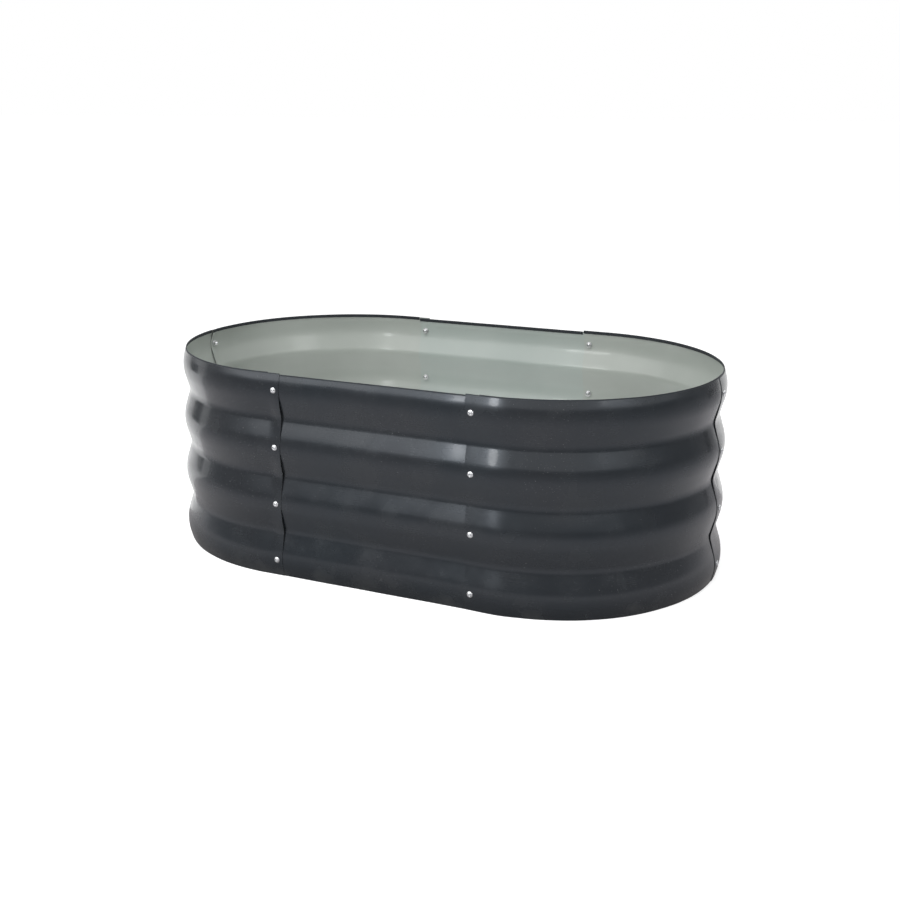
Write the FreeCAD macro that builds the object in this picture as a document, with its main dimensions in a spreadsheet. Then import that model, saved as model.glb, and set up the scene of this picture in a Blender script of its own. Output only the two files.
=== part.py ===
# Raised garden bed, in millimetres: an oval wall of corrugated sheet, open above and below.
# Two straight side panels and four quarter-circle end panels lap one another at six seams, and each seam is
# closed by a column of bolts on the crests of the sheet. +X runs along the bed and +Z is up. The origin is on
# the ground at the middle of the oval, and the near side faces -Y.
import FreeCAD, Part
import math
import os

import Sketcher
from FreeCAD import Placement, Rotation, Vector

doc = FreeCAD.newDocument("raised_bed")

# ---------------------------------------------------------------- sizes

driving_sizes = [
    ("bedLength", 1200, "outside, over the crests of the end panels"),
    ("bedWidth", 700, "outside, over the crests of the side panels"),
    ("crestCount", 4, "crests of the sheet from the ground to the rim, each with a bolt at every seam"),
    ("pitch", 117, "from one crest to the next"),
    ("edgeToCrest", 34.5, "from the rim or the ground to the nearest crest"),
    ("waveDepth", 12.5, "from crest to valley"),
    ("crestBend", 80, "radius of a crest's bend, on the outer face"),
    ("valleyBend", 30, "radius of a valley's bend, on the outer face"),
    ("sheetThick", 0.8, "steel sheet with its coating"),
    ("seamFromCorner", 38, "from a seam's bolts to the start of the corner's bend"),
    ("lapPastBolt", 13, "sheet past the bolt column at a seam"),
    ("lapClearance", 0.15, "air between two lapped sheets"),
    ("sideDrop", 3, "how far the side panels' rim lies below the end panels' rim"),
    ("hemLength", 6.5, "straight part of the rim's folded edge"),
    ("hemGap", 0.6, "air inside the fold"),
    ("hemNotch", 2, "from the end of a lapped sheet to the start of its neighbour's fold"),
    ("boltRadius", 3, "shank"),
    ("boltLength", 12, "shank, from under the head to the tip"),
    ("boltChamfer", 0.7, "at the tip"),
    ("holeClearance", 0.4, "round the shank, in the sheets"),
    ("headRadius", 6, "domed head"),
    ("headRim", 0.9, "straight rim of the head"),
    ("headTall", 3.6, "whole head"),
    ("washerRadius", 7, "outside of the washer"),
    ("washerThick", 1.2, "washer"),
    ("nutFlats", 10, "nut, across its flats"),
    ("nutTall", 5, "nut"),
    ("shankClearance", 0.08, "round the shank, in nut and washer"),
    ("seatClearance", 0.05, "between a crest and what is drawn up against it"),
]

derived_sizes = [
    ("bedHeight", "=(crestCount - 1) * pitch + 2 * edgeToCrest"),
    ("sideHeight", "=bedHeight - sideDrop"),
    ("arcCentre", "=(bedLength - bedWidth) / 2"),
    ("seamSpan", "=2 * (arcCentre - seamFromCorner)"),
    # A flank is the tangent that crosses between a crest's circle and a valley's circle.
    ("circleOffset", "=crestBend + valleyBend - waveDepth"),
    ("circleGap", "=sqrt(circleOffset ^ 2 + (pitch / 2) ^ 2)"),
    ("flankSlope", "=asin((crestBend + valleyBend) / circleGap) - atan(2 * circleOffset / pitch)"),
    # A lapped sheet is its neighbour moved outwards, so the flanks set the step.
    ("lapStep", "=sheetThick / cos(flankSlope) + lapClearance"),
    ("crestRadius", "=bedWidth / 2 - lapStep"),
    ("lapAngle", "=asin(lapPastBolt / crestRadius)"),
    ("notchAngle", "=asin((lapPastBolt + hemNotch) / crestRadius)"),
    ("flatLength", "=seamFromCorner + lapPastBolt"),
    ("foldRadius", "=sheetThick + hemGap / 2"),
    ("foldDrop", "=foldRadius * (1 - sin(flankSlope))"),
    # The flank crosses the line between the circles' centres where it shares that line as the bends do.
    ("crestShare", "=crestBend / (crestBend + valleyBend)"),
    ("topFlankHeight", "=bedHeight - edgeToCrest + crestShare * pitch / 2"),
    ("topFlankRadius", "=crestRadius - crestBend + crestShare * circleOffset"),
    # The washer bridges the hollow side of a crest.
    ("hollowRadius", "=crestBend - sheetThick"),
    ("washerSag", "=hollowRadius - sqrt(hollowRadius ^ 2 - washerRadius ^ 2)"),
    ("washerFace", "=lapStep + sheetThick + washerSag + seatClearance"),
    ("nutFace", "=washerFace + washerThick"),
]

sheet = doc.addObject("Spreadsheet::Sheet", "Sizes")
for row, entry in enumerate(driving_sizes + derived_sizes, 1):
    sheet.set(f"A{row}", entry[0])
    sheet.set(f"B{row}", str(entry[1]))
    sheet.setAlias(f"B{row}", entry[0])
    if len(entry) == 3:
        sheet.set(f"C{row}", entry[2])
doc.recompute()


def plain_number(value):
    """The number of a quantity, or of a value that has no unit."""
    return float(getattr(value, "Value", value))


def size(name):
    return plain_number(sheet.get(name))


def work_out(formula):
    return plain_number(sheet.evalExpression(formula))


# ---------------------------------------------------------------- sketches and features

ROOT = (-1, 1)
START, END, CENTRE = range(1, 4)


def new_sketch(body, name, plane):
    sketch = body.newObject("Sketcher::SketchObject", name)
    origin_plane = next(item for item in body.Origin.OriginFeatures if item.Role == plane)
    sketch.AttachmentSupport = [(origin_plane, "")]
    sketch.MapMode = "FlatFace"
    return sketch


def bind(sketch, formula, kind, *where):
    """Adds a dimension whose value is worked out from the sheet."""
    value = work_out(formula)
    if kind == "Angle":
        value = math.radians(value)
    index = sketch.addConstraint(Sketcher.Constraint(kind, *where, value))
    sketch.setExpression(f"Constraints[{index}]", formula)


def bind_point(sketch, across, up, point):
    bind(sketch, across, "DistanceX", *ROOT, *point)
    bind(sketch, up, "DistanceY", *ROOT, *point)


def add_line(sketch, start, end):
    return sketch.addGeometry(Part.LineSegment(Vector(*start, 0), Vector(*end, 0)), False)


def add_arc(sketch, centre, radius, first, last):
    circle = Part.Circle(Vector(*centre, 0), Vector(0, 0, 1), radius)
    return sketch.addGeometry(Part.ArcOfCircle(circle, math.radians(first), math.radians(last)), False)


def join(sketch, *pairs):
    for first, second in pairs:
        sketch.addConstraint(Sketcher.Constraint("Coincident", *first, *second))


def blend(sketch, *pairs):
    for first, second in pairs:
        sketch.addConstraint(Sketcher.Constraint("Tangent", *first, *second))


def new_feature(body, kind, name, sketch, **values):
    """Adds a feature. A value that is text becomes a formula on the sheet."""
    feature = body.newObject(f"PartDesign::{kind}", name)
    feature.Profile = sketch
    for key, value in values.items():
        if isinstance(value, str) and key in ("Length", "Length2", "Angle", "Occurrences"):
            feature.setExpression(key, value)
        else:
            setattr(feature, key, value)
    return feature


# ---------------------------------------------------------------- the corrugated sheet's section


def wave_face(sketch, depth, rim_cut):
    """Draws one face of the sheet from the ground to the rim, depth sheets under the outer face. Crests and
    valleys are arcs about shared centres, and straight flanks join them. Returns the lowest and highest flank.
    """
    under = f"{depth} * Sizes.sheetThick"
    slope = size("flankSlope")
    across = math.cos(math.radians(slope))
    along = math.sin(math.radians(slope))
    crest_x = size("crestRadius") - size("crestBend")
    valley_x = size("crestRadius") - size("waveDepth") + size("valleyBend")
    crest_bend = size("crestBend") - depth * size("sheetThick")
    valley_bend = size("valleyBend") + depth * size("sheetThick")
    crest_z = [size("edgeToCrest") + step * size("pitch") for step in range(int(size("crestCount")))]
    valley_z = [height + size("pitch") / 2 for height in crest_z]

    def crest_arc(step):
        arc = add_arc(sketch, (crest_x, crest_z[step]), crest_bend, -slope, slope)
        bind(sketch, f"Sizes.crestBend - {under}", "Radius", arc)
        height = f"Sizes.edgeToCrest + {step} * Sizes.pitch"
        bind_point(sketch, "Sizes.crestRadius - Sizes.crestBend", height, (arc, CENTRE))
        return arc

    def valley_arc(step):
        arc = add_arc(sketch, (valley_x, valley_z[step]), valley_bend, 180 - slope, 180 + slope)
        bind(sketch, f"Sizes.valleyBend + {under}", "Radius", arc)
        height = f"Sizes.edgeToCrest + {step + 0.5} * Sizes.pitch"
        bind_point(sketch, "Sizes.crestRadius - Sizes.waveDepth + Sizes.valleyBend", height, (arc, CENTRE))
        return arc

    def crest_edge(step, side):
        return crest_x + crest_bend * across, crest_z[step] + side * crest_bend * along

    def valley_edge(step, side):
        return valley_x - valley_bend * across, valley_z[step] + side * valley_bend * along

    foot = crest_edge(0, -1)
    lowest = add_line(sketch, (foot[0] - foot[1] * along / across, 0), foot)
    sketch.addConstraint(Sketcher.Constraint("PointOnObject", lowest, START, -1))
    bind(sketch, "90 deg - Sizes.flankSlope", "Angle", lowest)
    arc = crest_arc(0)
    blend(sketch, ((lowest, END), (arc, START)))
    for step in range(len(crest_z) - 1):
        falling = add_line(sketch, crest_edge(step, 1), valley_edge(step, -1))
        valley = valley_arc(step)
        rising = add_line(sketch, valley_edge(step, 1), crest_edge(step + 1, -1))
        blend(sketch, ((arc, END), (falling, START)), ((falling, END), (valley, END)))
        arc = crest_arc(step + 1)
        blend(sketch, ((valley, START), (rising, START)), ((rising, END), (arc, START)))
    neck = crest_edge(-1, 1)
    rise = size(rim_cut) - size("foldDrop") - neck[1] - depth * size("sheetThick") * along
    highest = add_line(sketch, neck, (neck[0] - rise * along / across, neck[1] + rise))
    blend(sketch, ((arc, END), (highest, START)))
    bind(sketch, "90 deg + Sizes.flankSlope", "Angle", highest)
    return lowest, highest


def sheet_section(body, rim):
    """The sheet's section without its fold: two wave faces, a level foot and a square cut at the rim."""
    sketch = new_sketch(body, f"{body.Label}_section", "YZ_Plane")
    foot, top = wave_face(sketch, 0, rim)
    inner_foot, inner_top = wave_face(sketch, 1, rim)
    ends = [sketch.Geometry[index] for index in (foot, inner_foot, top, inner_top)]
    ground = add_line(sketch, ends[0].StartPoint[:2], ends[1].StartPoint[:2])
    cut = add_line(sketch, ends[2].EndPoint[:2], ends[3].EndPoint[:2])
    join(sketch, ((ground, START), (foot, START)), ((ground, END), (inner_foot, START)))
    join(sketch, ((cut, START), (top, END)), ((cut, END), (inner_top, END)))
    sketch.addConstraint(Sketcher.Constraint("Perpendicular", cut, top))
    bind(sketch, f"Sizes.{rim} - Sizes.foldDrop", "DistanceY", *ROOT, top, END)
    return sketch


def hem_section(body, rim):
    """The rim's fold: the sheet turns inwards over a half circle and lies back along its own flank."""
    sketch = new_sketch(body, f"{body.Label}_fold_section", "YZ_Plane")
    slope = math.radians(size("flankSlope"))
    normal = (math.cos(slope), math.sin(slope))
    down = (math.sin(slope), -math.cos(slope))
    reach = (
        "Sizes.topFlankRadius - Sizes.foldRadius * cos(Sizes.flankSlope)"
        f" - (Sizes.{rim} - Sizes.foldDrop - Sizes.topFlankHeight) * tan(Sizes.flankSlope)"
    )
    height = f"Sizes.{rim} - Sizes.foldRadius"
    centre = (work_out(reach), work_out(height))

    def from_centre(out, along):
        return tuple(centre[i] + out * normal[i] + along * down[i] for i in range(2))

    degrees = size("flankSlope")
    outside, inside, leg = size("foldRadius"), size("hemGap") / 2, size("hemLength")
    outer = add_arc(sketch, centre, outside, degrees, degrees + 180)
    inner = add_arc(sketch, centre, inside, degrees, degrees + 180)
    outer_leg = add_line(sketch, from_centre(-outside, 0), from_centre(-outside, leg))
    inner_leg = add_line(sketch, from_centre(-inside, 0), from_centre(-inside, leg))
    tip = add_line(sketch, from_centre(-outside, leg), from_centre(-inside, leg))
    root = add_line(sketch, from_centre(inside, 0), from_centre(outside, 0))
    bind_point(sketch, reach, height, (outer, CENTRE))
    bind(sketch, "Sizes.foldRadius", "Radius", outer)
    bind(sketch, "Sizes.hemGap / 2", "Radius", inner)
    join(sketch, ((outer, CENTRE), (inner, CENTRE)))
    join(sketch, ((root, START), (inner, START)), ((root, END), (outer, START)))
    join(sketch, ((tip, START), (outer_leg, END)), ((tip, END), (inner_leg, END)))
    blend(sketch, ((outer, END), (outer_leg, START)), ((inner, END), (inner_leg, START)))
    sketch.addConstraint(Sketcher.Constraint("PointOnObject", outer, CENTRE, root))
    sketch.addConstraint(Sketcher.Constraint("Parallel", outer_leg, inner_leg))
    sketch.addConstraint(Sketcher.Constraint("Perpendicular", outer_leg, root))
    sketch.addConstraint(Sketcher.Constraint("Perpendicular", outer_leg, tip))
    bind(sketch, "Sizes.flankSlope", "Angle", root)
    bind(sketch, "Sizes.hemLength", "Distance", outer_leg)
    return sketch


def crest_holes(body, name, plane, places):
    """Bolt holes through the sheet, a row of circles cut both ways and repeated at each crest."""
    sketch = new_sketch(body, name, plane)
    for place in places:
        middle = Vector(work_out(place), size("edgeToCrest"), 0)
        radius = size("boltRadius") + size("holeClearance")
        circle = sketch.addGeometry(Part.Circle(middle, Vector(0, 0, 1), radius), False)
        bind(sketch, "Sizes.boltRadius + Sizes.holeClearance", "Radius", circle)
        bind_point(sketch, place, "Sizes.edgeToCrest", (circle, CENTRE))
    pocket = new_feature(body, "Pocket", f"{name}_cut", sketch, Type="ThroughAll", SideType="Symmetric")
    column = body.newObject("PartDesign::LinearPattern", f"{name}_column")
    column.Originals = [pocket]
    column.Direction = (sketch, ["V_Axis"])
    column.setExpression("Length", "(Sizes.crestCount - 1) * Sizes.pitch")
    column.setExpression("Occurrences", "Sizes.crestCount")
    body.Tip = column


# ---------------------------------------------------------------- panels


def side_panel(label, turned, laps_right=False):
    """A straight panel. laps_right: its right end lies over its neighbour, so the fold stops short of it."""
    body = doc.addObject("PartDesign::Body", label)
    body.Label = label
    half = "Sizes.seamSpan / 2 + Sizes.lapPastBolt"
    short = "Sizes.seamSpan / 2 - Sizes.lapPastBolt - Sizes.hemNotch"
    section = sheet_section(body, "sideHeight")
    new_feature(body, "Pad", f"{label}_sheet", section, SideType="Symmetric", Length=f"2 * ({half})")
    fold = hem_section(body, "sideHeight")
    right = short if laps_right else half
    new_feature(body, "Pad", f"{label}_fold", fold, SideType="Two sides", Length=right, Length2=half)
    crest_holes(body, f"{label}_holes", "XZ_Plane", ["-Sizes.seamSpan / 2", "Sizes.seamSpan / 2"])
    body.Placement = Placement(Vector(), Rotation(Vector(0, 0, 1), 180 if turned else 0))
    return body


def end_panel(label, side, turned, step, laps_side=True, laps_end=False):
    """A quarter circle with a short flat towards the side panel. side is +1 at the right of the bed and -1 at
    the left. step moves the sheet by whole lap steps along X and Y. laps_side: it lies over the side panel.
    laps_end: it lies over the other quarter at the bed's end. The fold stops short of both. Drawn at the far
    side, and turned half round for the near side."""
    body = doc.addObject("PartDesign::Body", label)
    body.Label = label
    facing = -1 if turned else 1
    clockwise = side * facing > 0
    section = sheet_section(body, "bedHeight")
    new_feature(body, "Pad", f"{label}_flat", section, Length="Sizes.flatLength", Reversed=clockwise)
    axis = (section, ["V_Axis"])
    new_feature(body, "Revolution", f"{label}_round", section, ReferenceAxis=axis, Reversed=clockwise,
                Angle="90 deg + Sizes.lapAngle")
    fold = hem_section(body, "bedHeight")
    flat = "Sizes.flatLength - 2 * Sizes.lapPastBolt - Sizes.hemNotch" if laps_side else "Sizes.flatLength"
    sweep = "90 deg - Sizes.notchAngle" if laps_end else "90 deg + Sizes.lapAngle"
    new_feature(body, "Pad", f"{label}_fold_flat", fold, Length=flat, Reversed=clockwise)
    new_feature(body, "Revolution", f"{label}_fold_round", fold, ReferenceAxis=(fold, ["V_Axis"]),
                Reversed=clockwise, Angle=sweep)
    across = f"{facing * side} * (Sizes.seamSpan / 2 - Sizes.arcCentre) - {facing * step[0]} * Sizes.lapStep"
    crest_holes(body, f"{label}_side_holes", "XZ_Plane", [across])
    crest_holes(body, f"{label}_end_holes", "YZ_Plane", [f"{-facing * step[1]} * Sizes.lapStep"])
    body.Placement = Placement(Vector(), Rotation(Vector(0, 0, 1), 180 if turned else 0))
    body.setExpression("Placement.Base.x", f"{side} * Sizes.arcCentre + {step[0]} * Sizes.lapStep")
    body.setExpression("Placement.Base.y", f"{step[1]} * Sizes.lapStep")
    return body


parts = [
    side_panel("near_side_panel", True),
    side_panel("far_side_panel", False, laps_right=True),
    end_panel("near_right_end_panel", 1, True, (0, -1)),
    end_panel("far_right_end_panel", 1, False, (1, -1), laps_side=False, laps_end=True),
    end_panel("far_left_end_panel", -1, False, (0, 1)),
    end_panel("near_left_end_panel", -1, True, (-1, -1), laps_end=True),
]

# ---------------------------------------------------------------- fasteners
# Each is drawn about a seam's outer crest: X points out of the bed and the head's seat is at x = 0.


def bolt_form():
    body = doc.addObject("PartDesign::Body", "bolt_form")
    sketch = new_sketch(body, "bolt_section", "XZ_Plane")
    seat, shank, head = size("seatClearance"), size("boltRadius"), size("headRadius")
    tip, chamfer, rim, tall = size("boltLength"), size("boltChamfer"), size("headRim"), size("headTall")
    corners = [
        (seat + tall, 0), (seat - tip, 0), (seat - tip, shank - chamfer), (seat - tip + chamfer, shank),
        (seat, shank), (seat, head), (seat + rim, head),
    ]
    lines = [add_line(sketch, start, end) for start, end in zip(corners, corners[1:])]
    dome = tall - rim
    bend = (head**2 + dome**2) / (2 * dome)
    arc = add_arc(sketch, (seat + tall - bend, 0), bend, 0, math.degrees(math.asin(head / bend)))
    join(sketch, *[((first, END), (second, START)) for first, second in zip(lines, lines[1:])])
    join(sketch, ((lines[-1], END), (arc, END)), ((arc, START), (lines[0], START)))
    axis, end, bevel, side, under, edge = lines
    sketch.addConstraint(Sketcher.Constraint("PointOnObject", arc, CENTRE, -1))
    for line in (axis, side, edge):
        sketch.addConstraint(Sketcher.Constraint("Horizontal", line))
    for line in (end, under):
        sketch.addConstraint(Sketcher.Constraint("Vertical", line))
    sketch.addConstraint(Sketcher.Constraint("PointOnObject", axis, START, -1))
    bind(sketch, "Sizes.seatClearance", "DistanceX", *ROOT, under, END)
    bind(sketch, "Sizes.boltLength", "DistanceX", end, END, under, START)
    bind(sketch, "Sizes.boltChamfer", "DistanceX", bevel, START, bevel, END)
    bind(sketch, "Sizes.boltChamfer", "DistanceY", bevel, START, bevel, END)
    bind(sketch, "Sizes.boltRadius", "DistanceY", *ROOT, side, END)
    bind(sketch, "Sizes.headRadius", "DistanceY", *ROOT, under, END)
    bind(sketch, "Sizes.headRim", "DistanceX", edge, START, edge, END)
    bind(sketch, "Sizes.headTall", "DistanceX", under, END, arc, START)
    new_feature(body, "Revolution", "bolt_turned", sketch, ReferenceAxis=(sketch, ["H_Axis"]), Angle="360 deg")
    return body


def ring_sketch(body, name, face):
    """A sketch square to the shank, set back from the head's seat by face, with the shank's hole drawn."""
    sketch = new_sketch(body, name, "YZ_Plane")
    sketch.setExpression("AttachmentOffset.Base.z", f"-Sizes.{face}")
    radius = size("boltRadius") + size("shankClearance")
    hole = sketch.addGeometry(Part.Circle(Vector(), Vector(0, 0, 1), radius), False)
    join(sketch, ((hole, CENTRE), ROOT))
    bind(sketch, "Sizes.boltRadius + Sizes.shankClearance", "Radius", hole)
    return sketch


def washer_form():
    body = doc.addObject("PartDesign::Body", "washer_form")
    sketch = ring_sketch(body, "washer_section", "washerFace")
    rim = sketch.addGeometry(Part.Circle(Vector(), Vector(0, 0, 1), size("washerRadius")), False)
    join(sketch, ((rim, CENTRE), ROOT))
    bind(sketch, "Sizes.washerRadius", "Radius", rim)
    new_feature(body, "Pad", "washer_blank", sketch, Length="Sizes.washerThick", Reversed=True)
    return body


def nut_form():
    body = doc.addObject("PartDesign::Body", "nut_form")
    sketch = ring_sketch(body, "nut_section", "nutFace")
    corner = size("nutFlats") / math.sqrt(3)
    corners = [(corner * math.cos(math.pi / 3 * k), corner * math.sin(math.pi / 3 * k)) for k in range(7)]
    sides = [add_line(sketch, start, end) for start, end in zip(corners, corners[1:])]
    guide = sketch.addGeometry(Part.Circle(Vector(), Vector(0, 0, 1), corner), True)
    join(sketch, ((guide, CENTRE), ROOT))
    for index, line in enumerate(sides):
        join(sketch, ((line, END), (sides[(index + 1) % 6], START)))
        sketch.addConstraint(Sketcher.Constraint("PointOnObject", line, START, guide))
    for line in sides[1:]:
        sketch.addConstraint(Sketcher.Constraint("Equal", sides[0], line))
    sketch.addConstraint(Sketcher.Constraint("PointOnObject", sides[0], START, -1))
    bind(sketch, "Sizes.nutFlats / sqrt(3)", "Radius", guide)
    new_feature(body, "Pad", "nut_blank", sketch, Length="Sizes.nutTall", Reversed=True)
    return body


def seam_column(label, form, turn, across, along):
    """Copies of one fastener, one on each crest of a seam. turn is the way out of the bed, from +X."""
    copies = []
    for step in range(int(size("crestCount"))):
        copy = doc.addObject("App::Link", f"{label}_{step + 1}")
        copy.LinkedObject = form
        copy.Placement = Placement(Vector(), Rotation(Vector(0, 0, 1), turn))
        copy.setExpression("Placement.Base.x", across)
        copy.setExpression("Placement.Base.y", along)
        copy.setExpression("Placement.Base.z", f"Sizes.edgeToCrest + {step} * Sizes.pitch")
        copies.append(copy)
    column = doc.addObject("Part::Compound", label)
    column.Label = label
    column.Links = copies
    return column


seat = "(Sizes.crestRadius + Sizes.lapStep)"
seams = {
    "near_left": (-90, "-Sizes.seamSpan / 2", f"-{seat}"),
    "near_right": (-90, "Sizes.seamSpan / 2", f"-{seat}"),
    "far_left": (90, "-Sizes.seamSpan / 2", seat),
    "far_right": (90, "Sizes.seamSpan / 2", "Sizes.crestRadius"),
    "right_end": (0, f"Sizes.arcCentre + {seat}", "0"),
    "left_end": (180, f"-(Sizes.arcCentre + {seat})", "0"),
}
forms = {"bolts": bolt_form(), "washers": washer_form(), "nuts": nut_form()}
for seam, (turn, across, along) in seams.items():
    for kind, form in forms.items():
        parts.append(seam_column(f"{kind}_{seam}", form, turn, across, along))

# ---------------------------------------------------------------- checks and files

doc.recompute()
failed = [item.Name for item in doc.Objects if {"Invalid", "Error"} & set(item.State)]
if failed:
    raise RuntimeError(f"these did not compute: {failed}")
os.makedirs("parts", exist_ok=True)
for part in parts:
    if part.Shape.isNull() or not part.Shape.isValid():
        raise RuntimeError(f"{part.Label} has no valid shape")
    part.Shape.exportStep(f"parts/{part.Label}.step")
    box = part.Shape.BoundBox
    print(f"{part.Label}: {len(part.Shape.Solids)} solid(s), {part.Shape.Volume:.0f} mm3, "
          f"{box.XLength:.1f} x {box.YLength:.1f} x {box.ZLength:.1f}")
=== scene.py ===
# Raised garden bed of corrugated sheet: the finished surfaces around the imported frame, in metres.
# +X runs along the bed, the near side faces -Y, and the ground is at z = 0.
import math

import bpy
import numpy as np
from mathutils import Matrix, Vector


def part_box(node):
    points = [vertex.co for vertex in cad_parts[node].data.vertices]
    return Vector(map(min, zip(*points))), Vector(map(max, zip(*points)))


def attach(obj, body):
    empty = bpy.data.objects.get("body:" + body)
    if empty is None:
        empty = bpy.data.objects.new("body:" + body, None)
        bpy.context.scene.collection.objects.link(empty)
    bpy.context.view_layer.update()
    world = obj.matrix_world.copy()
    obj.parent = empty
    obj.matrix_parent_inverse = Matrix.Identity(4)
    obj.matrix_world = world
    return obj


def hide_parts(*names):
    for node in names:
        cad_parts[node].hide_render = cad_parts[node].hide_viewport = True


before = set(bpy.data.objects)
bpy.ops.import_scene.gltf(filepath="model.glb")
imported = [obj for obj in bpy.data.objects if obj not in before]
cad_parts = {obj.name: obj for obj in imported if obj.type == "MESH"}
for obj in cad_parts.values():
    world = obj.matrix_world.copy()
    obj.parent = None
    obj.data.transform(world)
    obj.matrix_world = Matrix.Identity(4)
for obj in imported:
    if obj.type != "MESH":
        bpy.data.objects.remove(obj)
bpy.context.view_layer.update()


def frameBox(node):
    low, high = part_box(node)
    return np.array(low), np.array(high)


class Signal:
    # One socket of a node tree. Arithmetic on signals adds Math nodes, so 1 - mask * 0.3 is written as it
    # reads. A signal without a socket stands for an empty tree.
    def __init__(self, tree, socket=None):
        self.tree = tree
        self.socket = socket

    def node(self, kind, settings=None, inputs=None, out=0):
        # Adds any node: its settings first, then a number, a colour or a signal for each named input.
        made = self.tree.nodes.new(kind)
        for key, value in (settings or {}).items():
            setattr(made, key, value)
        for key, value in (inputs or {}).items():
            if isinstance(value, Signal):
                self.tree.links.new(value.socket, made.inputs[key])
            else:
                made.inputs[key].default_value = value
        return Signal(self.tree, made.outputs[out]) if made.outputs else None

    def math(self, operation, *values):
        return self.node("ShaderNodeMath", {"operation": operation}, dict(enumerate(values)))

    def __add__(self, other):
        return self.math("ADD", self, other)

    def __radd__(self, other):
        return self.math("ADD", other, self)

    def __sub__(self, other):
        return self.math("SUBTRACT", self, other)

    def __rsub__(self, other):
        return self.math("SUBTRACT", other, self)

    def __mul__(self, other):
        return self.math("MULTIPLY", self, other)

    def between(self, low, high):
        # 0 below low, 1 above high, and an even S-shaped rise from one to the other.
        settings = {"interpolation_type": "SMOOTHSTEP"}
        inputs = {"Value": self, "From Min": low, "From Max": high}
        return self.node("ShaderNodeMapRange", settings, inputs)

    def noise(self, scale, detail):
        # Cloudy pattern in 3-D. self holds the coordinates.
        inputs = {"Vector": self, "Scale": scale, "Detail": detail}
        return self.node("ShaderNodeTexNoise", None, inputs)

    def stretched(self, *scale):
        return self.node("ShaderNodeMapping", None, {"Vector": self, "Scale": scale})

    def blend(self, first, second):
        # A colour mix with self as its share.
        settings = {"data_type": "RGBA"}
        inputs = {0: self, 6: first, 7: second}
        return self.node("ShaderNodeMix", settings, inputs, 2)


def newFinish(name):
    # An empty material and a signal that stands for its node tree.
    finish = bpy.data.materials.new(name)
    finish.use_nodes = True
    finish.node_tree.nodes.clear()
    return finish, Signal(finish.node_tree)


def closeFinish(start, shader, bump, bumpDepth):
    # The shader's inputs go to a Principled BSDF. bump is a height, and bumpDepth its size in metres.
    shader["Normal"] = start.node("ShaderNodeBump", None, {"Height": bump, "Distance": bumpDepth})
    surface = start.node("ShaderNodeBsdfPrincipled", None, shader)
    start.node("ShaderNodeOutputMaterial", None, {"Surface": surface})


def rgb(red, green, blue):
    # A colour as it is read off a screen, 0 to 255, in the renderer's linear values, by the sRGB curve.
    share = np.array([red, green, blue]) / 255
    linear = np.where(share <= 0.04045, share / 12.92, ((share + 0.055) / 1.055) ** 2.4)
    return (*linear, 1.0)


# In the looks, a noise is its scale and detail, and a range is where a pattern starts to show and where it
# is full. roughBy and reliefBy say how much each pattern adds to the roughness and to the bump.
outsideLook = {
    "cool": rgb(29, 34, 38),
    "warm": rgb(35, 37, 40),
    "dust": rgb(120, 120, 116),
    "scuff": rgb(150, 152, 152),
    # rim: painted shade, a dark colour laid over the top of the rim's fold
    "rim": rgb(22, 23, 25),
    "share": {"dust": 0.22, "scuff": 0.5, "rim": 0.8},  # how far each colour covers the paint
    "cloud": (5, 4),
    "smudge": (19, 5),
    "peel": (900, 2),
    "specks": (620, 0),
    "toneRange": (0.3, 0.7),  # of the cloud noise, from cool to warm
    "smudgeRange": (0.45, 0.75),
    "speckRange": (0.80, 0.84),
    "speckPatches": (0.5, 0.62),  # of the cloud noise
    "dustFade": (0.004, 0.05),  # heights over which the dust from the ground fades
    "dustLow": 0.5,  # how much of it lies near the ground
    "dustAll": 0.12,  # and everywhere
    "foldRange": (-0.0026, -0.0010),  # along the section, from the start of the rim's fold
    "roughness": 0.24,
    "roughBy": {"smudge": 0.16, "lines": 0.06, "dust": 0.25, "fold": 0.4},
    "reliefBy": {"peel": 0.6, "lines": 0.5, "smudge": 1.5},
    "bumpDepth": 0.00004,
    "ior": 1.5,
    "coat": 0.25,
    "coatUnderDust": 0.2,  # what the dust takes off it
    "coatRoughness": 0.08,
    "specularTint": (0.82, 0.90, 1.0, 1.0),
}
rollLines = {"stretch": (6, 900, 1), "noise": (1.0, 2)}  # drawn out along the flattened sheet


def coatPattern(start, look):
    # What both coats share: the place on the bed, its height, the place on the flattened sheet, a cloudy
    # tone and smudges, then the roughness and the relief that smudges, roll lines and orange peel give.
    place = start.node("ShaderNodeTexCoord", out=3)
    height = start.node("ShaderNodeSeparateXYZ", None, {0: place}, 2)
    sheet = start.node("ShaderNodeUVMap")
    cloud = place.noise(*look["cloud"])
    smudge = place.noise(*look["smudge"])
    lines = sheet.stretched(*rollLines["stretch"]).noise(*rollLines["noise"])
    by = look["roughBy"]
    rough = look["roughness"] + (smudge - 0.5) * by["smudge"] + (lines - 0.5) * by["lines"]
    by = look["reliefBy"]
    relief = place.noise(*look["peel"]) * by["peel"] + lines * by["lines"] + smudge * by["smudge"]
    return place, height, sheet, cloud, smudge, rough, relief


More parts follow.
